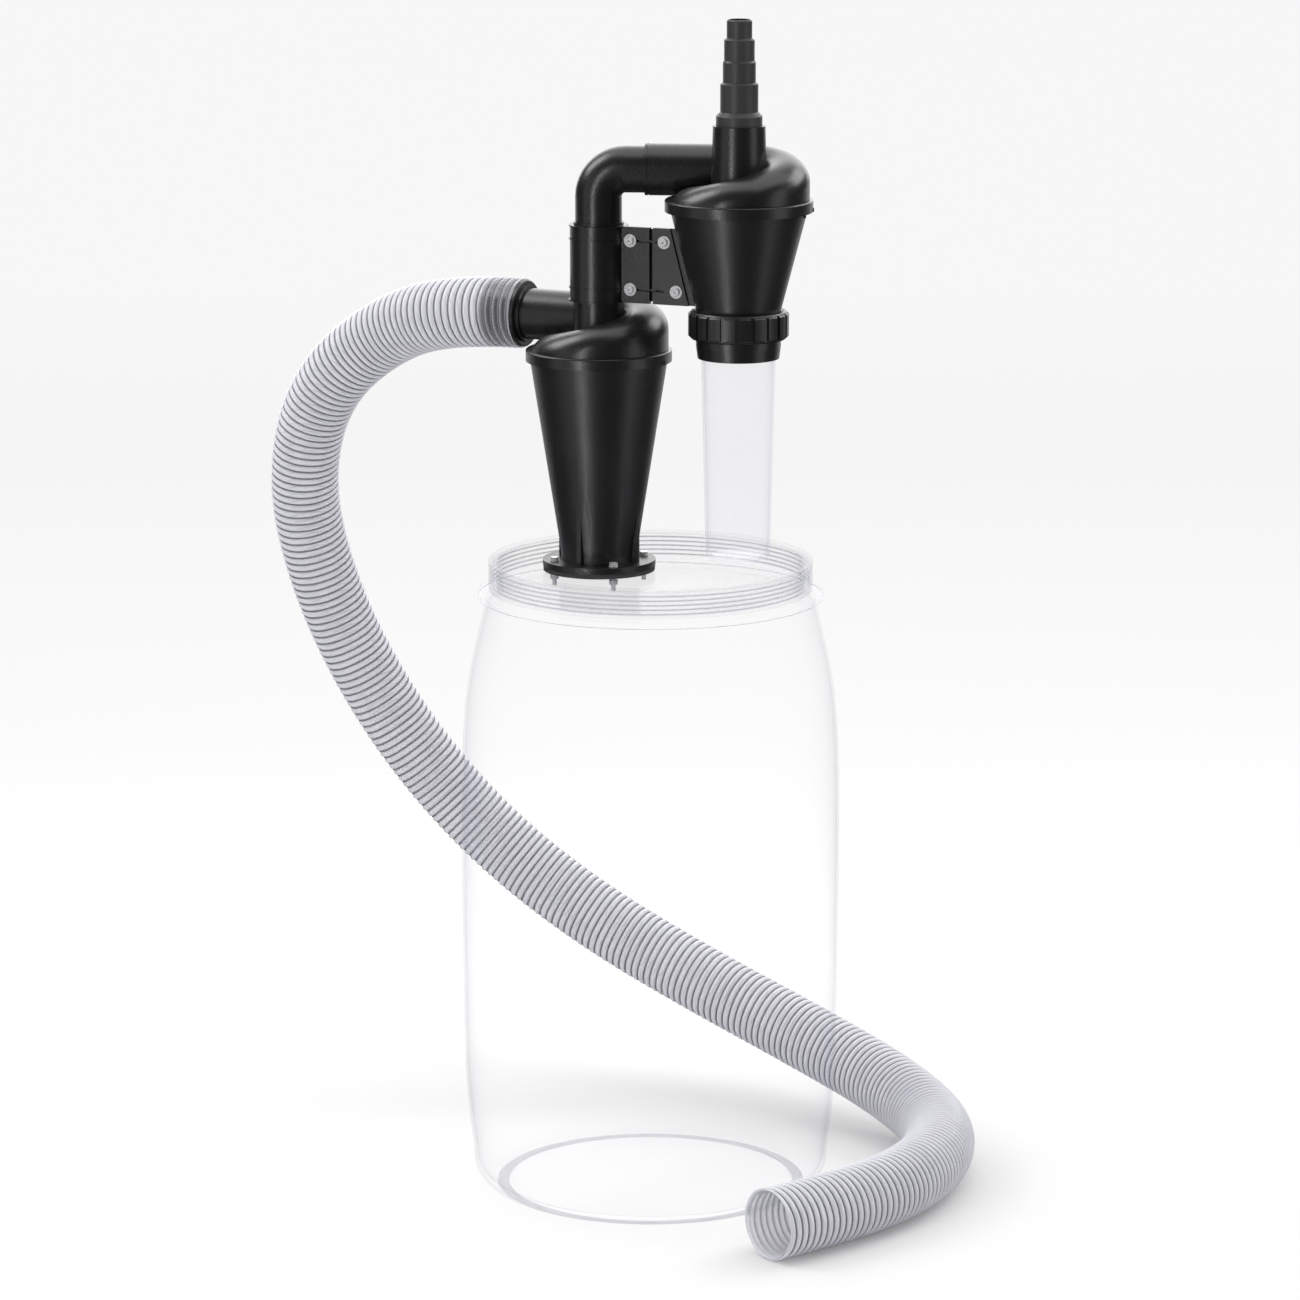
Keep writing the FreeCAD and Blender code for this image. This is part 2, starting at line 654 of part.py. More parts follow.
def with_tab_cuts(shape, key_from, key_to):
    """Screw holes and key slots of a bracket tab."""
    front = -TAB_FRONT - PASS
    back = TAB_THICKNESS - TAB_FRONT + PASS
    for along, height in screw_places():
        shape = shape.cut(front_cylinder(SCREW_HOLE, along, height, front, back))
    for height in tab_levels():
        levels = (height - KEY_SLOT / 2, height + KEY_SLOT / 2)
        shape = shape.cut(slab((key_from, key_to), (front, back), levels))
    return shape


def sleeve_outline():
    """Outside of the sleeve: a plain tube with four thin beads."""
    beads = (sleeve_bottom, sleeve_bottom + SLEEVE_BAND,
             sleeve_top - SLEEVE_BAND - SLEEVE_BEAD, sleeve_top - SLEEVE_BEAD)
    proud = SLEEVE_RADIUS + SLEEVE_BEAD_PROUD
    points = [(0, sleeve_bottom)]
    for low in beads:
        high = low + SLEEVE_BEAD
        points += [(SLEEVE_RADIUS, low), (proud, low), (proud, high), (SLEEVE_RADIUS, high)]
    return points + [(0, sleeve_top)]


def make_sleeve():
    outer = turned(sleeve_outline())
    gap_edge = TAB_GAP_CENTRE - TAB_GAP / 2
    back = TAB_THICKNESS - TAB_FRONT
    tab = slab((TAB_ROOT, gap_edge), (-TAB_FRONT, back), (sleeve_bottom, sleeve_top))
    tab = with_tab_cuts(tab, SCREW_LEFT, gap_edge + PASS)
    lower_bore = PRIMARY_OUTLET_RADIUS + SLIP / 2
    pipe_end = primary_rim + PRIMARY_OUTLET_HEIGHT
    stop_top = pipe_end + SLEEVE_STOP
    bore = turned([(0, sleeve_bottom), (lower_bore, sleeve_bottom), (lower_bore, pipe_end),
                   (ELBOW_RADIUS - ELBOW_WALL, pipe_end), (ELBOW_RADIUS - ELBOW_WALL, stop_top),
                   (ELBOW_RADIUS + SLIP / 2, stop_top), (ELBOW_RADIUS + SLIP / 2, sleeve_top),
                   (0, sleeve_top)])
    save("pipe_sleeve", link_frame(outer.fuse(tab).cut(bore).removeSplitter()))


def elbow_rod(radius, start, end):
    """Rod along the elbow's middle line: up, round the bend and out level."""
    corner = V(0, 0, elbow_height)
    bend_start = V(0, 0, elbow_height - ELBOW_BEND)
    bend_end = V(ELBOW_BEND, 0, elbow_height)
    centre = V(ELBOW_BEND, 0, elbow_height - ELBOW_BEND)
    middle = centre + (corner - centre).normalize() * ELBOW_BEND
    first = Part.makeLine(V(0, 0, start), bend_start)
    arc = Part.Arc(bend_start, middle, bend_end).toShape()
    last = Part.makeLine(bend_end, V(end, 0, elbow_height))
    path = Part.Wire([first, arc, last])
    section = Part.Wire(Part.makeCircle(radius, V(0, 0, start), UP))
    return path.makePipeShell([section], True, False)


def make_elbow():
    start = primary_rim + PRIMARY_OUTLET_HEIGHT + SLEEVE_STOP
    end = SECONDARY_INLET_START + ELBOW_SPIGOT
    outer = elbow_rod(ELBOW_RADIUS, start, end)
    lip = upright(ELBOW_RADIUS + ELBOW_LIP_WIDTH, sleeve_top, sleeve_top + ELBOW_LIP)
    inner = elbow_rod(ELBOW_RADIUS - ELBOW_WALL, start, end)
    elbow = outer.fuse(lip).cut(inner)
    elbow.rotate(V(0, 0, 0), UP, -secondary_inlet_turn)
    elbow.translate(PRIMARY)
    save("elbow_pipe", elbow)


# Secondary cone, its bracket tab and fasteners

def cone_radius_at(height):
    """Outside radius of the secondary cone at a height."""
    share = (height - secondary_cone_end) / SECONDARY_CONE_HEIGHT
    return SECONDARY_END + share * (SECONDARY_MOUTH - SECONDARY_END)


def make_secondary_cone():
    neck = SECONDARY_NECK_RADIUS
    lip = rim_points(SECONDARY_MOUTH, secondary_mouth_height)
    outer = turned([(0, neck_bottom), (neck, neck_bottom), (neck, secondary_cone_end),
                    (SECONDARY_END, secondary_cone_end)] + lip[:4] + [(0, lip[3][1])])
    axis = V(LINK_LENGTH, 0, 0)
    outer.translate(axis)
    gap_edge = TAB_GAP_CENTRE + TAB_GAP / 2
    back = TAB_THICKNESS - TAB_FRONT
    low_edge = LINK_LENGTH - cone_radius_at(sleeve_bottom) - TAB_CLEAR
    top_edge = LINK_LENGTH - cone_radius_at(sleeve_top) - TAB_CLEAR
    corners = [V(gap_edge, -TAB_FRONT, sleeve_bottom), V(low_edge, -TAB_FRONT, sleeve_bottom),
               V(top_edge, -TAB_FRONT, sleeve_top), V(gap_edge, -TAB_FRONT, sleeve_top)]
    tab = Part.Face(Part.makePolygon(corners + corners[:1])).extrude(V(0, TAB_THICKNESS, 0))
    root = TAB_CLEAR + CONE_WALL
    web_corners = [V(low_edge - PASS, back - WEB_THICKNESS, sleeve_bottom),
                   V(low_edge + root, back - WEB_THICKNESS, sleeve_bottom),
                   V(top_edge + root, back - WEB_THICKNESS, sleeve_top),
                   V(top_edge - PASS, back - WEB_THICKNESS, sleeve_top)]
    web = Part.Face(Part.makePolygon(web_corners + web_corners[:1])).extrude(V(0, WEB_THICKNESS, 0))
    tab = with_tab_cuts(tab, gap_edge - PASS, SCREW_RIGHT_TOP)
    inner = turned([(0, neck_bottom), (neck - SECONDARY_NECK_WALL, neck_bottom),
                    (neck - SECONDARY_NECK_WALL, secondary_cone_end - SECONDARY_THROAT),
                    (SECONDARY_END - CONE_WALL, secondary_cone_end), lip[5], lip[4],
                    (0, lip[4][1])])
    inner.translate(axis)
    cone = outer.fuse([tab, web]).cut(inner)
    catch_angle = -secondary_inlet_turn - CATCH_OFFSET - LINK_ANGLE
    catch_top = secondary_mouth_height - CATCH_DROP
    catch_radius = SECONDARY_MOUTH - CATCH_SINK
    catch = catch_block(axis, catch_angle, catch_radius, catch_top - LUG_HEIGHT, catch_top)
    save("secondary_cone", link_frame(cone.fuse(catch).removeSplitter()))


def facing_back(shape, along, depth, height):
    """Lay an upright shape down so that its +Z points away from the front."""
    placed = shape.copy()
    placed.rotate(V(0, 0, 0), V(1, 0, 0), -90)
    placed.translate(V(along, depth, height))
    return placed


def bracket_screw(grip):
    """Pan-head screw with its head below height 0 and a hexagon socket."""
    round_off = SCREW_HEAD_HEIGHT / 3
    length = grip + SCREW_NUT_HEIGHT + SCREW_TAIL
    screw = turned([(0, -SCREW_HEAD_HEIGHT), (SCREW_HEAD_RADIUS - round_off, -SCREW_HEAD_HEIGHT),
                    (SCREW_HEAD_RADIUS, round_off - SCREW_HEAD_HEIGHT), (SCREW_HEAD_RADIUS, 0),
                    (SCREW_RADIUS, 0), (SCREW_RADIUS, length), (0, length)])
    return screw.cut(hexagon(SCREW_SOCKET_FLATS, -SCREW_HEAD_HEIGHT, SCREW_SOCKET_DEPTH))


def make_bracket():
    back = TAB_THICKNESS - TAB_FRONT
    rear = back + PLATE_THICKNESS
    low = sleeve_bottom + PLATE_MARGIN
    high = sleeve_top - PLATE_MARGIN
    low_edge = SCREW_RIGHT_LOW + SCREW_WASHER_RADIUS - PLATE_TUCK
    top_edge = SCREW_RIGHT_TOP + SCREW_WASHER_RADIUS - PLATE_TUCK
    corners = [V(PLATE_START, back, low), V(low_edge, back, low), V(top_edge, back, high),
               V(PLATE_START, back, high)]
    plate = Part.Face(Part.makePolygon(corners + corners[:1])).extrude(V(0, PLATE_THICKNESS, 0))
    for height in tab_levels():
        key = slab((KEY_START, KEY_END), (back - KEY_DEPTH, back + PASS),
                   (height - KEY_HEIGHT / 2, height + KEY_HEIGHT / 2))
        plate = plate.fuse(key)
    screws = []
    washers = []
    nuts = []
    front = -TAB_FRONT - SCREW_WASHER
    for along, height in screw_places():
        plate = plate.cut(front_cylinder(SCREW_HOLE, along, height, back - PASS, rear + PASS))
        screws.append(facing_back(bracket_screw(rear - front), along, front, height))
        disc = front_cylinder(SCREW_WASHER_RADIUS, along, height, front, -TAB_FRONT)
        washers.append(disc.cut(front_cylinder(SCREW_HOLE, along, height, front, -TAB_FRONT)))
        nut = hexagon(SCREW_NUT_FLATS, 0, SCREW_NUT_HEIGHT)
        nut = nut.cut(upright(SCREW_RADIUS, 0, SCREW_NUT_HEIGHT))
        nuts.append(facing_back(nut, along, rear, height))
    save("bracket_plate", link_frame(plate.removeSplitter()))
    save("bracket_screws", link_frame(Part.makeCompound(screws)))
    save("bracket_washers", link_frame(Part.makeCompound(washers)))
    save("bracket_nuts", link_frame(Part.makeCompound(nuts)))


# Union nut, dust tube and socket

def make_union_nut():
    bore = SECONDARY_NECK_RADIUS + TURN_GAP
    top = nut_bottom + NUT_HEIGHT
    lip_bore = SOCKET_RADIUS + TURN_GAP
    body = turned([(lip_bore, nut_bottom), (NUT_RADIUS - NUT_EDGE, nut_bottom),
                   (NUT_RADIUS, nut_bottom + NUT_EDGE), (NUT_RADIUS, top - NUT_EDGE),
                   (NUT_RADIUS - NUT_EDGE, top), (bore, top), (bore, nut_bottom + NUT_LIP),
                   (lip_bore, nut_bottom + NUT_LIP)])
    span = 360 / NUT_LOBES - NUT_GROOVE_ANGLE
    root = bore + PASS
    low = nut_bottom + NUT_LOBE_INSET
    high = top - NUT_LOBE_INSET
    points = [(root, low), (NUT_LOBE_RADIUS - NUT_LOBE_EDGE, low),
              (NUT_LOBE_RADIUS, low + NUT_LOBE_EDGE), (NUT_LOBE_RADIUS, high - NUT_LOBE_EDGE),
              (NUT_LOBE_RADIUS - NUT_LOBE_EDGE, high), (root, high)]
    corners = [V(r, 0, z) for r, z in points]
    face = Part.Face(Part.makePolygon(corners + corners[:1]))
    lobe = face.revolve(V(0, 0, 0), UP, span)
    lobes = [turned_copy(lobe, index * 360 / NUT_LOBES) for index in range(NUT_LOBES)]
    nut = body.fuse(lobes).removeSplitter()
    nut.translate(SECONDARY)
    save("union_nut", nut)


def make_dust_tube():
    socket_end = socket_top - SOCKET_LENGTH - SOCKET_FLANGE
    tube_top = socket_top - SOCKET_FLANGE
    bore = TUBE_TOP_RADIUS + SLIP / 2
    shoulder = TUBE_TOP_RADIUS - TUBE_WALL
    flange = SECONDARY_NECK_RADIUS
    save("tube_socket", turned([(bore, socket_end), (SOCKET_END_RADIUS, socket_end),
                                (SOCKET_RADIUS, socket_end + SOCKET_TAPER), (SOCKET_RADIUS, tube_top),
                                (flange, tube_top), (flange, socket_top),
                                (shoulder, socket_top), (shoulder, tube_top),
                                (bore, tube_top)], SECONDARY))
    seal_inner = SECONDARY_NECK_RADIUS - SECONDARY_NECK_WALL
    save("tube_seal", washer_ring(flange, seal_inner, socket_top, neck_bottom, SECONDARY))
    base = tube_top - TUBE_LENGTH
    low = base + TUBE_BASE_ROUND
    reach = TUBE_END_RADIUS - TUBE_BASE_RADIUS
    bend = (TUBE_BASE_RADIUS + TUBE_BEND_OUT * reach, base + TUBE_BEND_UP * TUBE_BASE_ROUND)
    inner_bend = (bend[0] - TUBE_BEND_OUT * TUBE_WALL, bend[1] + TUBE_BEND_OUT * TUBE_BASE)
    inner_floor = (TUBE_BASE_RADIUS - TUBE_WALL / 2, base + TUBE_BASE)
    tube = turned([(0, base), (TUBE_BASE_RADIUS, base), bend + (TUBE_END_RADIUS, low),
                   (TUBE_TOP_RADIUS, socket_end), (TUBE_TOP_RADIUS, tube_top),
                   (shoulder, tube_top), (shoulder, socket_end), (TUBE_END_RADIUS - TUBE_WALL, low),
                   inner_bend + inner_floor, (0, base + TUBE_BASE)], SECONDARY)
    save("dust_tube", tube)


def adapter_steps():
    """Each tier below the top one: its radius, height, bevel and the radius above it."""
    return [(COLLAR_RADIUS, COLLAR_HEIGHT, COLLAR_BEVEL, FIRST_TIER_RADIUS),
            (FIRST_TIER_RADIUS, FIRST_TIER_HEIGHT, FIRST_TIER_BEVEL, SECOND_TIER_RADIUS),
            (SECOND_TIER_RADIUS, SECOND_TIER_HEIGHT, SECOND_TIER_BEVEL, THIRD_TIER_RADIUS),
            (THIRD_TIER_RADIUS, THIRD_TIER_HEIGHT, THIRD_TIER_BEVEL, TOP_TIER_RADIUS)]


def make_adapter():
    bottom = outlet_top - ADAPTER_SPIGOT
    outer = [(COLLAR_RADIUS - ADAPTER_WALL, bottom), (COLLAR_RADIUS, bottom)]
    inner = []
    height = outlet_top
    for radius, rise, bevel, radius_above in adapter_steps():
        height += rise
        outer.append((radius, height))
        inner.append((radius - ADAPTER_WALL, height - ADAPTER_WALL))
        height += bevel
        outer.append((radius_above, height))
        inner.append((radius_above - ADAPTER_WALL, height - ADAPTER_WALL))
    top = height + TOP_TIER_HEIGHT
    outer += [(TOP_TIER_RADIUS, top - TOP_TIER_ROUND), (TOP_TIER_RADIUS - TOP_TIER_ROUND, top),
              (TOP_TIER_RADIUS - ADAPTER_WALL, top)]
    save("stepped_adapter", turned(outer + inner[::-1], SECONDARY))


# Hose cuff and hose

def inlet_frame(shape):
    """Set an upright shape along the primary inlet: height 0 at the channel's start."""
    placed = shape.copy()
    placed.rotate(V(0, 0, 0), V(0, 1, 0), -90)
    placed.translate(V(0, CHANNEL_ORBIT, CHANNEL_RISE))
    placed.rotate(V(0, 0, 0), UP, -PRIMARY_INLET_TURN)
    placed.translate(PRIMARY + V(0, 0, primary_rim))
    return placed


def make_cuff():
    bore = CHANNEL_RADIUS + SLIP / 2
    stop = primary_inlet_length
    stop_bore = CHANNEL_RADIUS - CHANNEL_WALL
    cuff = turned([(bore, CUFF_START - CUFF_HUB), (CUFF_HUB_RADIUS, CUFF_START - CUFF_HUB),
                   (CUFF_HUB_RADIUS, CUFF_START), (CUFF_FLANGE_RADIUS - CUFF_EDGE, CUFF_START),
                   (CUFF_FLANGE_RADIUS, CUFF_START + CUFF_EDGE),
                   (CUFF_FLANGE_RADIUS, CUFF_START + CUFF_FLANGE),
                   (cuff_barrel_radius, CUFF_START + CUFF_FLANGE), (cuff_barrel_radius, cuff_end),
                   (stop_bore, cuff_end), (stop_bore, stop), (bore, stop)])
    save("hose_cuff", inlet_frame(cuff))


def hose_path(points):
    """Straight runs joined by tangent arcs, and the radius of each arc."""
    edges = []
    radii = []
    start = points[0]
    for index in range(1, len(points) - 1):
        before = points[index] - points[index - 1]
        after = points[index + 1] - points[index]
        turn = before.getAngle(after)
        cut = HOSE_BEND_SHARE * min(before.Length, after.Length)
        radius = cut / math.tan(turn / 2)
        ahead = V(before).normalize()
        beyond = V(after).normalize()
        arc_start = points[index] - ahead * cut
        arc_end = points[index] + beyond * cut
        inward = (beyond - ahead).normalize()
        centre = points[index] + inward * (radius / math.cos(turn / 2))
        middle = centre - inward * radius
        edges.append(Part.LineSegment(start, arc_start).toShape())
        edges.append(Part.Arc(arc_start, middle, arc_end).toShape())
        radii.append(radius)
        start = arc_end
    edges.append(Part.LineSegment(start, points[-1]).toShape())
    return Part.Wire(edges), radii


def make_hose():
    points = [V(*point) for point in HOSE_POINTS]
    path, radii = hose_path(points)
    along = (points[1] - points[0]).normalize()
    outer = Part.Wire(Part.makeCircle(HOSE_OUTER, points[0], along))
    inner = Part.Wire(Part.makeCircle(HOSE_INNER, points[0], along))
    hose = path.makePipeShell([outer], True, False).cut(path.makePipeShell([inner], True, False))
    area = math.pi * (HOSE_OUTER ** 2 - HOSE_INNER ** 2)
    print("hose arc radii", [round(radius, 1) for radius in radii])
    print("hose length", round(path.Length, 1), "volume over section", round(hose.Volume / area, 1))
    save("inlet_hose", hose)


make_drum()
make_lid()
make_flange_fasteners()
make_primary_cone()
make_rim_seal("primary_rim_seal", PRIMARY_MOUTH, primary_rim, PRIMARY)
make_primary_head()
make_sleeve()
make_elbow()
make_secondary_head()
make_secondary_cone()
make_rim_seal("secondary_rim_seal", SECONDARY_MOUTH, secondary_rim, SECONDARY)
make_bracket()
make_union_nut()
make_dust_tube()
make_adapter()
make_cuff()
make_hose()
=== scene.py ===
import json
import math

import bpy
import numpy as np
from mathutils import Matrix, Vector


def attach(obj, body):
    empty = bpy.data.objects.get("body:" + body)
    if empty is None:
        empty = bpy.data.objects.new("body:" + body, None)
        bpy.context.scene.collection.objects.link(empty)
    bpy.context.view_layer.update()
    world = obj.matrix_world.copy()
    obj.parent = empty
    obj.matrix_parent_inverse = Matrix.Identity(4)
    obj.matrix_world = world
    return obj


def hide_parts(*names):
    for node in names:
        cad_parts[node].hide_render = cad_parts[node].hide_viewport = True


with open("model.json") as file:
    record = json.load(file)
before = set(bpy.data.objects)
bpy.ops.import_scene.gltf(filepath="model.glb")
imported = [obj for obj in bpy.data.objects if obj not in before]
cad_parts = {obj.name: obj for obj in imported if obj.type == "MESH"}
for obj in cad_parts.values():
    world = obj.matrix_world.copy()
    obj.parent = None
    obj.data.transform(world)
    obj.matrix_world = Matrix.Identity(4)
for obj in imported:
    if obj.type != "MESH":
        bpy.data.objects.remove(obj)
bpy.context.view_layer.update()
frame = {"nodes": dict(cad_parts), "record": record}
nodes = frame["nodes"]
scene = bpy.context.scene


# Camera: from the front and a little above, for a square picture

CAMERA_PLACE = (-0.00056, -6.10967, 1.89036)
CAMERA_PITCH = 11.8775
SENSOR = 36.0
LENS = 157.194
FARTHEST_SEEN = 60

camera_data = bpy.data.cameras.new("camera")
camera_data.sensor_width = SENSOR
camera_data.lens = LENS
camera_data.clip_end = FARTHEST_SEEN
camera = bpy.data.objects.new("camera", camera_data)
camera.location = CAMERA_PLACE
camera.rotation_euler = (math.radians(90 - CAMERA_PITCH), 0, 0)
scene.collection.objects.link(camera)
scene.camera = camera


# Node helpers for materials

NOISE_LOW = 0.3
NOISE_HIGH = 0.7


class Shader:
    """Builds one node material step by step."""

    def __init__(self, name):
        self.material = bpy.data.materials.new(name)
        self.material.use_nodes = True
        self.tree = self.material.node_tree
        self.surface = self.tree.nodes["Principled BSDF"]
        self.coordinates = None

    def node(self, kind, **values):
        """Adds a node and sets its inputs and properties by name."""
        made = self.tree.nodes.new(kind)
        for key, value in values.items():
            if hasattr(made, key):
                setattr(made, key, value)
            else:
                made.inputs[key.replace("_", " ")].default_value = value
        return made

    def link(self, source, output, target, socket):
        self.tree.links.new(source.outputs[output], target.inputs[socket])

    def place(self):
        """Object coordinates, in metres."""
        if self.coordinates is None:
            self.coordinates = self.node("ShaderNodeTexCoord")
        return self.coordinates

    def noise(self, scale, detail, stretch=None):
        """Noise in the piece's own space, scale in features per metre."""
        made = self.node("ShaderNodeTexNoise", Scale=scale, Detail=detail)
        source, output = self.place(), "Object"
        if stretch is not None:
            mapping = self.node("ShaderNodeMapping")
            mapping.inputs["Scale"].default_value = stretch
            self.link(source, output, mapping, "Vector")
            source, output = mapping, "Vector"
        self.link(source, output, made, "Vector")
        return made

    def spread(self, source, output, low, high, from_low=0.0, from_high=1.0):
        """Maps a value to a range."""
        made = self.node("ShaderNodeMapRange", From_Min=from_low, From_Max=from_high, To_Min=low, To_Max=high)
        self.link(source, output, made, "Value")
        return made

    def colours(self, source, output, stops):
        """Colour ramp over a value."""
        made = self.node("ShaderNodeValToRGB")
        ramp = made.color_ramp
        while len(ramp.elements) < len(stops):
            ramp.elements.new(0.5)
        for element, (position, colour) in zip(ramp.elements, stops):
            element.position = position
            element.color = (*colour, 1)
        self.link(source, output, made, "Fac")
        return made

    def calculate(self, operation, *terms, clamp=False):
        """Math node whose terms are numbers or first outputs of other nodes."""
        made = self.node("ShaderNodeMath", operation=operation, use_clamp=clamp)
        for index, term in enumerate(terms):
            if isinstance(term, (int, float)):
                made.inputs[index].default_value = term
            else:
                self.link(term, 0, made, index)
        return made

    def set(self, **values):
        for key, value in values.items():
            self.surface.inputs[key.replace("_", " ")].default_value = value

    def clouds(self, scale, detail, dark, light):
        """Colour of the surface that drifts between two tints."""
        cloud = self.noise(scale, detail)
        tint = self.colours(cloud, "Fac", [(NOISE_LOW, dark), (NOISE_HIGH, light)])
        self.link(tint, "Color", self.surface, "Base Color")

    def uneven_gloss(self, pattern, smoothest, roughest):
        """Roughness that follows a noise."""
        gloss = self.spread(pattern, "Fac", smoothest, roughest, NOISE_LOW, NOISE_HIGH)
        self.link(gloss, "Result", self.surface, "Roughness")

    def bump(self, pattern, strength, depth):
        """Relief that follows a noise, depth in metres."""
        made = self.node("ShaderNodeBump", Strength=strength, Distance=depth)
        self.link(pattern, "Fac", made, "Height")
        self.link(made, "Normal", self.surface, "Normal")


def shade(colour, factor):
    return tuple(factor * level for level in colour)


# Plastics, rubbers and steel

PLASTIC_CLOUDS = 14
GLOSS_BELOW = 0.08
GLOSS_ABOVE = 0.1
GRAIN_STRENGTH = 0.25
GRAIN_DEPTH = 0.00016
CLEAR_CLOUDS = 9
CLEAR_TINT = 1.04
CLEAR_INDEX = 1.45
RIDGE_FADE = 0.001
STEEL_MARKS = 600
STEEL_TINT = 0.85
STEEL_GLOSS_REACH = 0.08
STEEL_MARKS_STRETCH = (1, 1, 6)
STEEL_MARKS_STRENGTH = 0.15
STEEL_MARKS_DEPTH = 0.0002
STEEL_METAL_SHARE = 0.45


def moulded_plastic(name, dark, light, roughness, grain, shine=0.5):
    """Opaque moulded plastic or rubber: cloudy colour, uneven gloss and a fine grain."""
    look = Shader(name)
    look.clouds(PLASTIC_CLOUDS, detail=4, dark=dark, light=light)
    speckle = look.noise(grain, detail=2)
    look.uneven_gloss(speckle, roughness - GLOSS_BELOW, roughness + GLOSS_ABOVE)
    look.bump(speckle, GRAIN_STRENGTH, GRAIN_DEPTH)
    look.set(Specular_IOR_Level=shine)
    return look.material


def clear_plastic(name, colour, face_on, edge_on, sharpness, roughness, ridges=None, rings=()):
    """Clear plastic, nearly unseen face on, that shows at its edges, screw ridges and rings."""
    look = Shader(name)
    look.clouds(CLEAR_CLOUDS, detail=3, dark=colour, light=shade(colour, CLEAR_TINT))
    edge = look.node("ShaderNodeLayerWeight", Blend=0.5)
    steep = look.node("ShaderNodeMath", operation="POWER")
    look.link(edge, "Facing", steep, 0)
    steep.inputs[1].default_value = sharpness
    cover = look.spread(steep, "Value", face_on, edge_on)
    if ridges is not None:
        cover = with_ridges(look, cover, *ridges)
    for ring in rings:
        cover = with_ring(look, cover, *ring)
    look.link(cover, 0, look.surface, "Alpha")
    look.set(Roughness=roughness, IOR=CLEAR_INDEX)
    return look.material


def radius_and_height(look):
    """Nodes for the distance from the drum's axis and for the height."""
    parts = look.node("ShaderNodeSeparateXYZ")
    look.link(look.place(), "Object", parts, "Vector")
    flat = look.node("ShaderNodeCombineXYZ")
    look.link(parts, "X", flat, "X")
    look.link(parts, "Y", flat, "Y")
    radius = look.node("ShaderNodeVectorMath", operation="LENGTH")
    look.link(flat, "Vector", radius, 0)
    return radius, parts


def with_ridges(look, cover, root, crest, lowest, strength):
    """Adds cover where the surface stands between two radii, above a height."""
    radius, parts = radius_and_height(look)
    ridge = look.spread(radius, "Value", 0.0, strength, root, crest)
    above = look.spread(parts, "Z", 0.0, 1.0, lowest - RIDGE_FADE, lowest)
    there = look.calculate("MULTIPLY", ridge, above)
    return look.calculate("ADD", cover, there)


def with_ring(look, cover, radius_middle, radius_reach, height_middle, height_reach, strength):
    """Adds cover on a ring: where radius and height are both within a reach of their middles."""
    radius, parts = radius_and_height(look)
    across = look.node("ShaderNodeMath", operation="COMPARE")
    look.link(radius, "Value", across, 0)
    across.inputs[1].default_value = radius_middle
    across.inputs[2].default_value = radius_reach
    upright = look.node("ShaderNodeMath", operation="COMPARE")
    look.link(parts, "Z", upright, 0)
    upright.inputs[1].default_value = height_middle
    upright.inputs[2].default_value = height_reach
    both = look.calculate("MULTIPLY", across, upright)
    return look.calculate("MULTIPLY_ADD", both, strength, cover)


def steel(name, colour, roughness):
    """Plated steel with faint turning marks and uneven gloss."""
    look = Shader(name)
    marks = look.noise(STEEL_MARKS, detail=2, stretch=STEEL_MARKS_STRETCH)
    tint = look.colours(marks, "Fac", [(NOISE_LOW, shade(colour, STEEL_TINT)), (NOISE_HIGH, colour)])
    look.link(tint, "Color", look.surface, "Base Color")
    look.uneven_gloss(marks, roughness - STEEL_GLOSS_REACH, roughness + STEEL_GLOSS_REACH)
    look.bump(marks, STEEL_MARKS_STRENGTH, STEEL_MARKS_DEPTH)
    look.set(Metallic=STEEL_METAL_SHARE)
    return look.material


# Hose: ribbed clear wall round a wire helix, on the smooth line of the hose's route

HOSE_ROUTE = [
    (-0.1417, 0.1770, 0.953), (-0.2096, 0.2087, 0.953), (-0.294, 0.277, 0.925),
    (-0.379, 0.328, 0.847), (-0.407, 0.371, 0.729), (-0.382, 0.408, 0.598),
    (-0.326, 0.431, 0.470), (-0.251, 0.435, 0.359), (-0.163, 0.421, 0.270),
    (-0.061, 0.389, 0.199), (0.053, 0.337, 0.143), (0.170, 0.267, 0.096),
    (0.270, 0.182, 0.060), (0.325, 0.081, 0.0397), (0.324, -0.033, 0.0397),
    (0.282, -0.141, 0.0397), (0.211, -0.229, 0.0397), (0.126, -0.297, 0.0397)]
HOSE_RADIUS = 0.0397
VALLEY_RADIUS = 0.0361
HOSE_WALL = 0.0008
HOSE_PITCH = 0.0087
RIB_FULLNESS = 0.75
OUTER_ROWS = 6
INNER_ROWS = 3
SKIN_COLUMNS = 44
FLATTENED = 1e-7
WIRE_RADIUS = 0.0009
WIRE_ORBIT = 0.0378
WIRE_STEPS = 36
WIRE_AROUND = 5
EDGE_INSET = 0.0013
EDGE_THICKNESS = 0.0008
EDGE_COLUMNS = 64
EDGE_AROUND = 8
HOSE_CLOUDS = 30
HOSE_TINT = 0.94
CLEAR_UNTIL = 0.048
MILKY_FROM = 0.060
HOSE_EDGE_BLEND = 0.3
HOSE_EDGE_RISE = 0.6


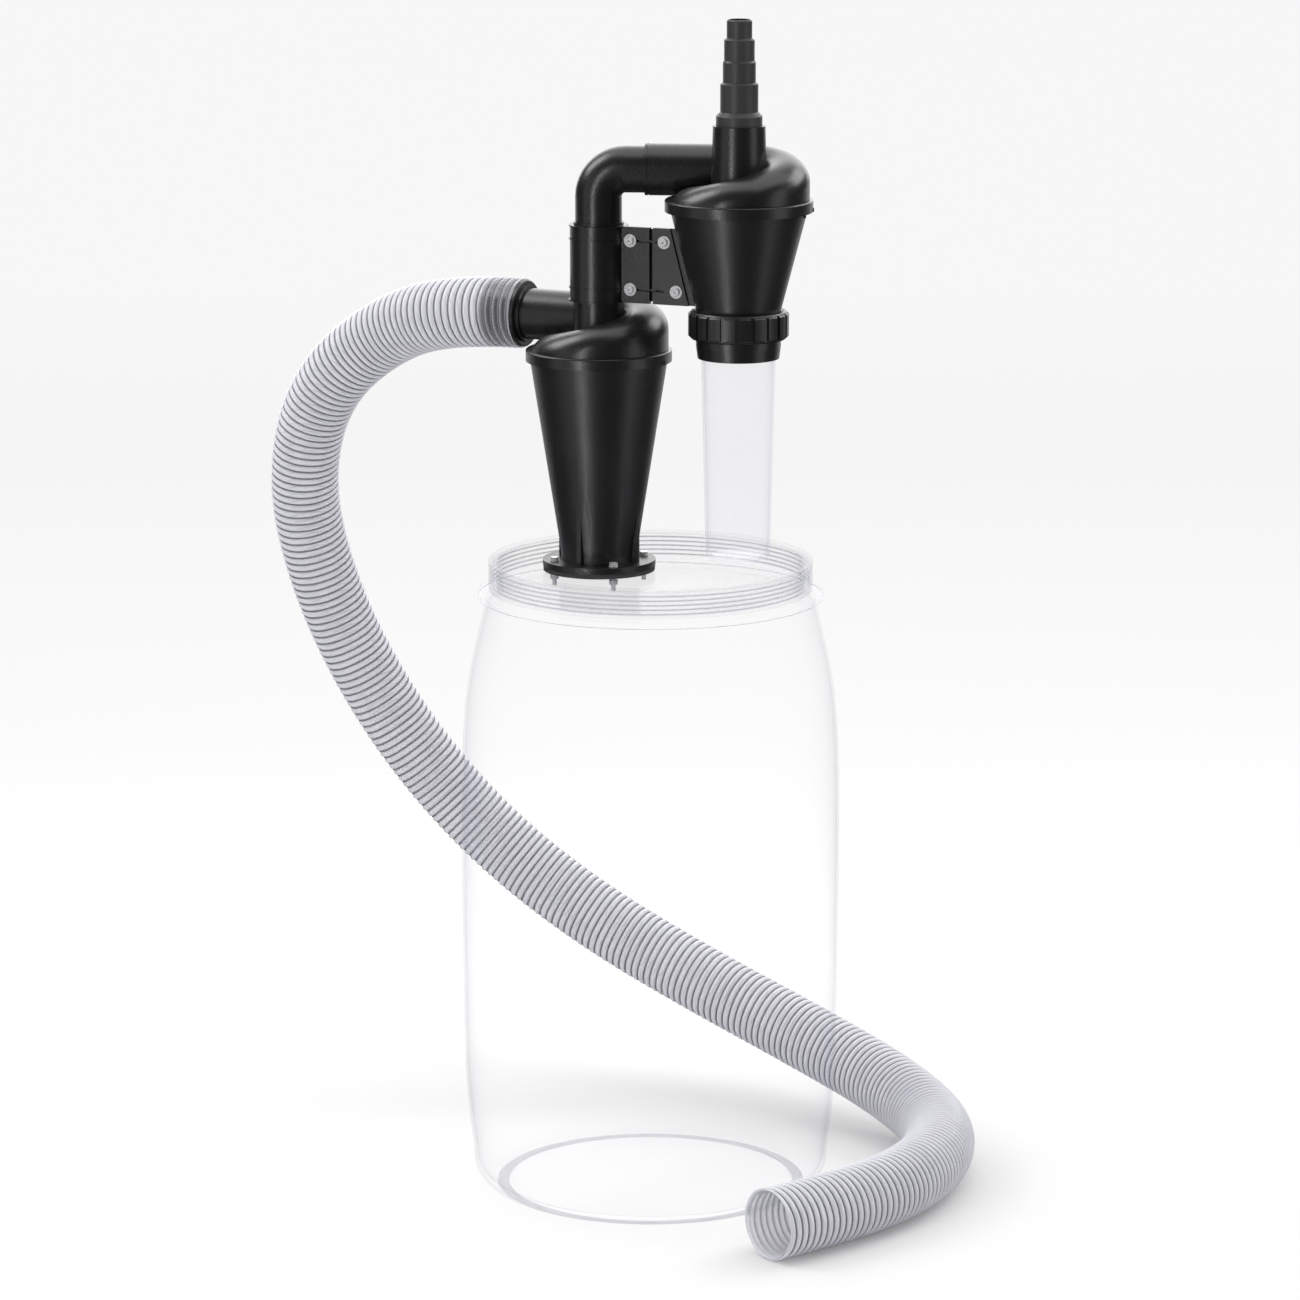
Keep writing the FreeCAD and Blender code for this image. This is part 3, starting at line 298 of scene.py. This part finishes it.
def frosted_hose(name, colour, near_cuff, cover, roughness):
    """Frosted wall: milky, but clearer where the cuff's barrel touches it."""
    look = Shader(name)
    look.clouds(HOSE_CLOUDS, detail=3, dark=shade(colour, HOSE_TINT), light=colour)
    reach = look.node("ShaderNodeVectorMath", operation="DISTANCE")
    look.link(look.place(), "Object", reach, 0)
    reach.inputs[1].default_value = HOSE_ROUTE[0]
    milky = look.spread(reach, "Value", near_cuff, cover, CLEAR_UNTIL, MILKY_FROM)
    edge = look.node("ShaderNodeLayerWeight", Blend=HOSE_EDGE_BLEND)
    rise = look.spread(edge, "Facing", 0.0, HOSE_EDGE_RISE)
    total = look.calculate("ADD", milky, rise, clamp=True)
    look.link(total, "Value", look.surface, "Alpha")
    look.set(Roughness=roughness)
    return look.material


def smooth_route(points):
    """Points along a NURBS spline whose control points are the route's."""
    data = bpy.data.curves.new("hose_route", "CURVE")
    data.dimensions = "3D"
    spline = data.splines.new("NURBS")
    spline.points.add(len(points) - 1)
    for point, place in zip(spline.points, points):
        point.co = (*place, 1)
    spline.order_u = 3
    spline.use_endpoint_u = True
    spline.resolution_u = 40
    route = bpy.data.objects.new("hose_route", data)
    line = bpy.data.meshes.new_from_object(route)
    places = np.array([vertex.co[:] for vertex in line.vertices])
    bpy.data.objects.remove(route)
    bpy.data.curves.remove(data)
    bpy.data.meshes.remove(line)
    return places


class Line:
    """Arc length, place and turning frame along a line of points."""

    def __init__(self, places):
        self.places = places
        steps = np.linalg.norm(np.diff(places, axis=0), axis=1)
        self.along = np.concatenate([[0], np.cumsum(steps)])
        self.length = float(self.along[-1])
        ahead = np.gradient(places, self.along, axis=0)
        self.ahead = ahead / np.linalg.norm(ahead, axis=1)[:, None]
        side = np.cross(self.ahead[0], (0, 0, 1))
        sides = []
        for direction in self.ahead:
            side = side - direction * (side @ direction)
            side = side / np.linalg.norm(side)
            sides.append(side)
        self.side = np.array(sides)

    def at(self, where):
        """Place, direction, side and other side at distances along the line."""
        found = []
        for values in (self.places, self.ahead, self.side):
            found.append(np.stack([np.interp(where, self.along, values[:, i]) for i in range(3)], -1))
        place, ahead, side = found
        ahead = ahead / np.linalg.norm(ahead, axis=-1)[..., None]
        side = side - ahead * (side * ahead).sum(-1)[..., None]
        side = side / np.linalg.norm(side, axis=-1)[..., None]
        return place, ahead, side, np.cross(ahead, side)


def new_mesh_piece(name, vertices, faces, material):
    """Smooth-shaded mesh object from lists of places and faces."""
    mesh = bpy.data.meshes.new(name)
    mesh.from_pydata(vertices, [], faces)
    mesh.materials.append(material)
    mesh.validate()
    mesh.polygons.foreach_set("use_smooth", [True] * len(mesh.polygons))
    piece = bpy.data.objects.new(name, mesh)
    scene.collection.objects.link(piece)
    return piece


def rib_height(phase):
    """Height of the wall's bulge over a valley, from 0 to 1, by its place in the turn."""
    return np.abs(np.sin(np.pi * phase)) ** RIB_FULLNESS


def helical_skin(line, offset, rows):
    """Grid of places on the ribbed wall, whose rows follow the wire from end to end."""
    last = int(math.ceil(line.length / HOSE_PITCH * rows))
    row = np.arange(-rows, last + 1)[:, None]
    column = np.arange(SKIN_COLUMNS)[None, :]
    where = HOSE_PITCH * (row / rows + column / SKIN_COLUMNS)
    where = np.clip(where, 0, line.length)
    phase = where / HOSE_PITCH - column / SKIN_COLUMNS
    radius = VALLEY_RADIUS + (HOSE_RADIUS - VALLEY_RADIUS) * rib_height(phase) - offset
    place, _, side, other = line.at(where)
    angle = np.broadcast_to(2 * math.pi * column / SKIN_COLUMNS, where.shape)
    out = side * np.cos(angle)[..., None] + other * np.sin(angle)[..., None]
    return place + out * radius[..., None], where


def skin_faces(where, start, rows, flip):
    """Faces of a helical grid, without those that the ends flatten."""
    count, columns = where.shape
    faces = []
    for r in range(count - 1):
        for c in range(columns):
            ahead_row, ahead_column = (r, c + 1) if c + 1 < columns else (r + rows, 0)
            if ahead_row + 1 >= count:
                continue
            corners = [(r, c), (r + 1, c), (ahead_row + 1, ahead_column), (ahead_row, ahead_column)]
            reach = [where[a, b] for a, b in corners]
            if max(reach) - min(reach) < FLATTENED:
                continue
            face = [start + a * columns + b for a, b in corners]
            faces.append(face[::-1] if flip else face)
    return faces


def hose_wall(line, material):
    """Closed ribbed wall: an outer and an inner skin."""
    outer, outer_where = helical_skin(line, 0.0, OUTER_ROWS)
    inner, inner_where = helical_skin(line, HOSE_WALL, INNER_ROWS)
    vertices = np.concatenate([outer.reshape(-1, 3), inner.reshape(-1, 3)])
    faces = skin_faces(outer_where, 0, OUTER_ROWS, False)
    faces += skin_faces(inner_where, outer_where.size, INNER_ROWS, True)
    return new_mesh_piece("hose_wall", vertices.tolist(), faces, material)


def end_ring(name, line, where, material):
    """Rounded cut edge of the wall at one end."""
    vertices = []
    faces = []
    place, ahead, side, other = line.at(np.array([where]))
    for c in range(EDGE_COLUMNS):
        angle = 2 * math.pi * c / EDGE_COLUMNS
        out = side[0] * math.cos(angle) + other[0] * math.sin(angle)
        for a in range(EDGE_AROUND):
            turn = 2 * math.pi * a / EDGE_AROUND
            outward = HOSE_RADIUS - EDGE_INSET + EDGE_THICKNESS * math.cos(turn)
            onward = EDGE_THICKNESS * math.sin(turn)
            vertices.append(tuple(place[0] + out * outward + ahead[0] * onward))
    for c in range(EDGE_COLUMNS):
        d = (c + 1) % EDGE_COLUMNS
        for a in range(EDGE_AROUND):
            b = (a + 1) % EDGE_AROUND
            corners = [(c, a), (d, a), (d, b), (c, b)]
            faces.append([column * EDGE_AROUND + point for column, point in corners])
    return new_mesh_piece(name, vertices, faces, material)


def wire_helix(line, material):
    """Sheathed spring wire between the bulges of the wall."""
    margin = WIRE_STEPS // 3
    count = int(line.length / HOSE_PITCH * WIRE_STEPS) - 2 * margin
    index = np.arange(count) + margin
    angle = 2 * math.pi * index / WIRE_STEPS
    place, ahead, side, other = line.at(HOSE_PITCH * index / WIRE_STEPS)
    out = side * np.cos(angle)[:, None] + other * np.sin(angle)[:, None]
    rings = []
    for a in range(WIRE_AROUND):
        turn = 2 * math.pi * a / WIRE_AROUND
        outward = WIRE_ORBIT + WIRE_RADIUS * math.cos(turn)
        onward = WIRE_RADIUS * math.sin(turn)
        rings.append(place + out * outward + ahead * onward)
    vertices = np.stack(rings, 1).reshape(-1, 3).tolist()
    faces = []
    for i in range(count - 1):
        for a in range(WIRE_AROUND):
            b = (a + 1) % WIRE_AROUND
            corners = [(i, a), (i, b), (i + 1, b), (i + 1, a)]
            faces.append([step * WIRE_AROUND + point for step, point in corners])
    faces.append(list(range(WIRE_AROUND))[::-1])
    faces.append([(count - 1) * WIRE_AROUND + a for a in range(WIRE_AROUND)])
    return new_mesh_piece("hose_wire", vertices, faces, material)


hose_clear = frosted_hose("clear_hose_wall", (0.84, 0.84, 0.90), near_cuff=0.04, cover=0.40, roughness=0.25)
wire_grey = moulded_plastic(
    "hose_wire_sheath", dark=(0.17, 0.17, 0.19), light=(0.22, 0.22, 0.24), roughness=0.40, grain=900)
hose_line = Line(smooth_route(HOSE_ROUTE))
wall = hose_wall(hose_line, hose_clear)
wire = wire_helix(hose_line, wire_grey)
mouth_ring = end_ring("hose_mouth_edge", hose_line, hose_line.length - EDGE_THICKNESS, hose_clear)
cuff_ring = end_ring("hose_cuff_edge", hose_line, EDGE_THICKNESS, hose_clear)
for piece in (wall, wire, mouth_ring, cuff_ring):
    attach(piece, "separator")
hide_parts("inlet_hose")


# Materials of the CAD pieces

BLACK = (0.005, 0.005, 0.0053)

# Screw ridges of the neck: root and crest radius, lowest height, added cover
THREAD_RIDGES = (0.1728, 0.1739, 0.6765, 0.62)

# Rings that catch the light: middle radius, its reach, middle height, its reach, added cover
COLLAR_RING = (0.1885, 0.0012, 0.6638, 0.0040, 0.50)
FOOT_RING = (0.1648, 0.0062, 0.0015, 0.0040, 0.36)
SKIRT_RING = (0.1771, 0.0012, 0.6900, 0.0190, 0.06)

NODE_LOOKS = {
    "clear_drum": clear_plastic(
        "clear_drum_plastic", (0.38, 0.39, 0.50), face_on=0.001, edge_on=0.16, sharpness=4.5,
        roughness=0.12, ridges=THREAD_RIDGES, rings=(COLLAR_RING, FOOT_RING)),
    "clear_lid": clear_plastic(
        "clear_lid_plastic", (0.16, 0.16, 0.20), face_on=0.006, edge_on=0.31, sharpness=5.0,
        roughness=0.12, rings=(SKIRT_RING,)),
    "clear_tube": clear_plastic(
        "clear_tube_plastic", (0.62, 0.60, 0.74), face_on=0.045, edge_on=0.60, sharpness=4.5,
        roughness=0.05),
    "clear_hose": hose_clear,
    "smooth_black": moulded_plastic(
        "black_plastic_satin", dark=BLACK, light=(0.007, 0.007, 0.0075), roughness=0.31, grain=1500,
        shine=1.0),
    "grained_black": moulded_plastic(
        "black_plastic_grained", dark=BLACK, light=(0.008, 0.008, 0.0085), roughness=0.36, grain=900,
        shine=1.0),
    "dark_grey": moulded_plastic(
        "grey_plastic", dark=(0.030, 0.031, 0.033), light=(0.040, 0.041, 0.043), roughness=0.4, grain=1200),
    "rubber": moulded_plastic(
        "rubber_black", dark=(0.012, 0.012, 0.012), light=(0.018, 0.018, 0.018), roughness=0.7, grain=1100),
    "pale_rubber": clear_plastic(
        "rubber_pale", (0.62, 0.62, 0.66), face_on=0.08, edge_on=0.3, sharpness=3.0, roughness=0.5),
    "grey_rubber": moulded_plastic(
        "rubber_grey", dark=(0.03, 0.03, 0.032), light=(0.045, 0.045, 0.047), roughness=0.65, grain=1100),
    "steel": steel("plated_steel", (0.72, 0.72, 0.74), roughness=0.28)}

for entry in frame["record"]["subparts"]:
    obj = nodes[entry["node"]]
    obj.data.materials.clear()
    obj.data.materials.append(NODE_LOOKS[entry["material_slot"]])


# Floor and backdrop: paint and glow are grey levels by the share of the shaded depth

STAGE_HALF_WIDTH = 5
STAGE_FRONT = -0.62
BEND_START = 5.0
BEND_RADIUS = 4.0
BEND_STEPS = 16
STAGE_TOP = 12.0
SHADED_DEPTH = 6.0
PAINT = [(0.15, 0.70), (0.55, 0.05)]
GLOW = [(0.15, 0.086), (0.265, 0.295), (0.358, 0.477), (0.467, 0.712), (0.55, 0.885),
        (0.592, 0.875), (0.74, 0.872), (0.917, 0.885), (1.0, 0.897)]
FLAG_LEVEL = 0.04
FLAG_FULL_UNTIL = 0.3
FLAG_NONE_FROM = 0.7


def grey(level):
    return (level, level, level)


def grey_stops(stops):
    return [(position, grey(level)) for position, level in stops]


def backdrop_look():
    """White paint that takes shadows, with a glow that only the eye and clear things see.

    In reflections the near floor is dark, as with a black flag in front of the object."""
    look = Shader("studio_white")
    depth = look.node("ShaderNodeSeparateXYZ")
    look.link(look.place(), "Object", depth, "Vector")
    share = look.spread(depth, "Y", 0.0, 1.0, 0.0, SHADED_DEPTH)
    paint = look.colours(share, "Result", grey_stops(PAINT))
    light = look.colours(share, "Result", grey_stops(GLOW))
    diffuse = look.node("ShaderNodeBsdfDiffuse")
    glow = look.node("ShaderNodeEmission")
    look.link(paint, "Color", diffuse, "Color")
    look.link(light, "Color", glow, "Color")
    path = look.node("ShaderNodeLightPath")
    seen = look.node("ShaderNodeMath", operation="MAXIMUM")
    clearer = look.node("ShaderNodeMath", operation="MAXIMUM")
    look.link(path, "Is Camera Ray", seen, 0)
    look.link(path, "Is Glossy Ray", seen, 1)
    look.link(seen, 0, clearer, 0)
    look.link(path, "Is Transmission Ray", clearer, 1)
    look.link(clearer, 0, glow, "Strength")
    total = look.node("ShaderNodeAddShader")
    look.link(diffuse, "BSDF", total, 0)
    look.link(glow, "Emission", total, 1)
    flag = look.node("ShaderNodeEmission", Color=(*grey(FLAG_LEVEL), 1))
    near = look.spread(share, "Result", 1.0, 0.0, FLAG_FULL_UNTIL, FLAG_NONE_FROM)
    flagged = look.node("ShaderNodeMath", operation="MULTIPLY")
    look.link(near, "Result", flagged, 0)
    look.link(path, "Is Glossy Ray", flagged, 1)
    result = look.node("ShaderNodeMixShader")
    look.link(flagged, "Value", result, "Fac")
    look.link(total, "Shader", result, 1)
    look.link(flag, "Emission", result, 2)
    look.link(result, "Shader", look.tree.nodes["Material Output"], "Surface")
    return look.material


def backdrop():
    """Floor that curves up into a wall behind the object."""
    profile = [(STAGE_FRONT, 0.0), (BEND_START, 0.0)]
    for step in range(1, BEND_STEPS + 1):
        turn = math.radians(90 * step / BEND_STEPS)
        profile.append((BEND_START + BEND_RADIUS * math.sin(turn), BEND_RADIUS * (1 - math.cos(turn))))
    profile.append((BEND_START + BEND_RADIUS, STAGE_TOP))
    vertices = []
    for y, z in profile:
        vertices += [(-STAGE_HALF_WIDTH, y, z), (STAGE_HALF_WIDTH, y, z)]
    faces = []
    for index in range(len(profile) - 1):
        a = 2 * index
        faces.append((a, a + 1, a + 3, a + 2))
    new_mesh_piece("studio_floor", vertices, faces, backdrop_look())


backdrop()


# Lights

CLEAR_LAYERS = 64


def studio_world(diffuse_light, reflected_light):
    """Even soft light all round, much dimmer in reflections, and white to the eye."""
    world = bpy.data.worlds.new("studio")
    scene.world = world
    world.use_nodes = True
    tree = world.node_tree
    background = tree.nodes["Background"]
    background.inputs["Color"].default_value = (1, 1, 1, 1)
    path = tree.nodes.new("ShaderNodeLightPath")
    level = tree.nodes.new("ShaderNodeMapRange")
    level.inputs["To Min"].default_value = diffuse_light
    level.inputs["To Max"].default_value = reflected_light
    tree.links.new(path.outputs["Is Glossy Ray"], level.inputs["Value"])
    seen = tree.nodes.new("ShaderNodeMath")
    seen.operation = "MAXIMUM"
    tree.links.new(level.outputs["Result"], seen.inputs[0])
    tree.links.new(path.outputs["Is Camera Ray"], seen.inputs[1])
    tree.links.new(seen.outputs[0], background.inputs["Strength"])


def softbox(name, place, target, size, power):
    """Rectangular lamp that faces a target."""
    data = bpy.data.lights.new(name, "AREA")
    data.shape = "RECTANGLE"
    data.size, data.size_y = size
    data.energy = power
    lamp = bpy.data.objects.new(name, data)
    lamp.location = place
    lamp.rotation_euler = (Vector(target) - Vector(place)).to_track_quat("-Z", "Y").to_euler()
    lamp.visible_camera = False
    scene.collection.objects.link(lamp)


studio_world(diffuse_light=0.70, reflected_light=0.04)

LOW_AIM = (0, 0, -0.2)
HIGH_AIM = (0, 0, 1.1)

softbox("top_light", place=(0.3, 0.4, 4.2), target=(0, 0, 0.6), size=(5.2, 3.4), power=62)
softbox("strip_light", place=(-1.72, -2.75, -0.2), target=LOW_AIM, size=(0.34, 5.6), power=37)
softbox("left_light", place=(-2.95, -1.20, -0.2), target=LOW_AIM, size=(1.5, 5.6), power=9)
softbox("right_light", place=(2.74, -1.22, -0.2), target=LOW_AIM, size=(1.4, 5.6), power=16)
softbox("upper_right_light", place=(2.6, 1.5, 2.7), target=HIGH_AIM, size=(2.2, 1.6), power=36)
softbox("upper_left_light", place=(-2.35, 0.7, 3.2), target=HIGH_AIM, size=(1.6, 2.0), power=42)
softbox("back_light", place=(0.0, 4.4, 2.6), target=(0, 0, 2.0), size=(6.0, 3.2), power=90)

scene.cycles.transparent_max_bounces = CLEAR_LAYERS
scene.view_settings.view_transform = "Standard"
